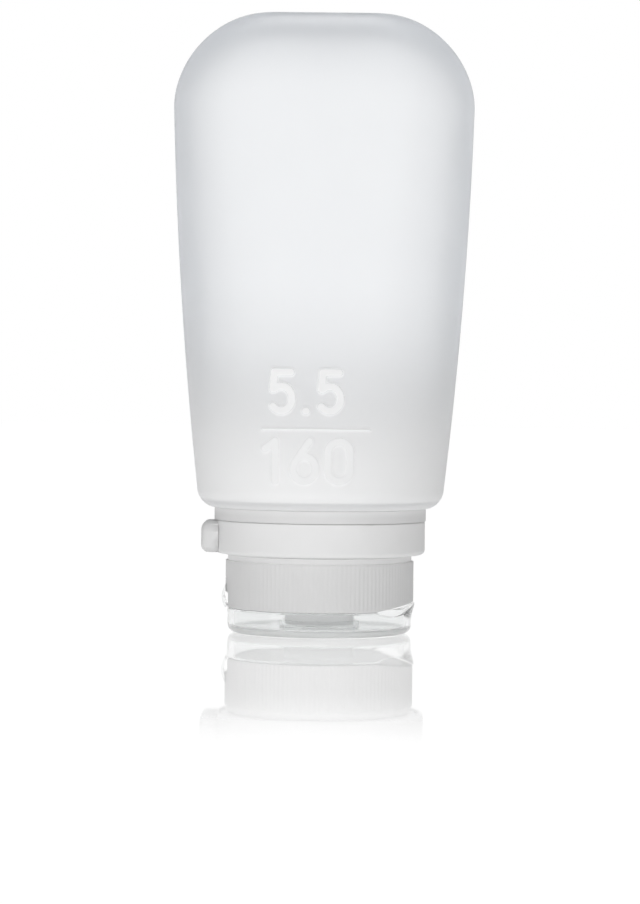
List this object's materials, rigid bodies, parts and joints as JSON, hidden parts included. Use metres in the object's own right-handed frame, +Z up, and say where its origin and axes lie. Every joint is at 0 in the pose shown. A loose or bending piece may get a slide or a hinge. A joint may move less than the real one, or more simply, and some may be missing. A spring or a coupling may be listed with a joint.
{
  "type": "squeeze bottle",
  "caption": "Squeezable silicone travel bottle standing on its cap, with a clear flip lid, ribbed screw cap, turning window collar and wide rounded closed end.",
  "frame": {"origin": "centre of the lid's flat foot, on the bottle's axis, with the bottle standing on its closed lid", "axes": "+Z up the axis to the closed end; +X towards the lid's thumb lip, with the hinge and the collar's window at -X; +Y to the back, across the bottle's thinner way"},
  "size_m": [0.0608, 0.0502, 0.1251],
  "materials": {
    "silicone": "frosted translucent",
    "frosted_plastic": "frosted translucent",
    "clear_plastic": "clear",
    "soft_white": "matt"
  },
  "bodies": {
    "bottle": {"squeeze_body": "silicone", "neck_insert": "frosted_plastic", "index_ring": "frosted_plastic"},
    "collar": {"id_collar": "frosted_plastic", "collar_window": "clear_plastic"},
    "liner": {"cap_liner": "soft_white"},
    "cap": {"screw_cap": "frosted_plastic", "spout_valve": "soft_white", "valve_retainer": "frosted_plastic", "hinge_strap": "clear_plastic"},
    "lid": {"flip_lid": "clear_plastic"}
  },
  "joints": [
    {"name": "collar_turn", "type": "hinge", "parent": "bottle", "child": "collar", "pos_m": [0, 0, 0.01945], "axis": [0, 0, 1], "continuous": true},
    {"name": "cap_lift", "type": "slide", "parent": "bottle", "child": "liner", "axis": [0, 0, -1], "range_m": [0, 0.00525]},
    {"name": "cap_turn", "type": "hinge", "parent": "liner", "child": "cap", "pos_m": [0, 0, 0.007], "axis": [0, 0, -1], "range_deg": [0, 631]},
    {"name": "lid_flip", "type": "hinge", "parent": "cap", "child": "lid", "pos_m": [-0.01926, 0, 0.00735], "axis": [0, 1, 0], "range_deg": [0, 165], "deforming": ["hinge_strap"]}
  ],
  "couplings": [
    {"joint": "cap_turn", "follows": "cap_lift", "rad_per_m": 2094.4}
  ]
}
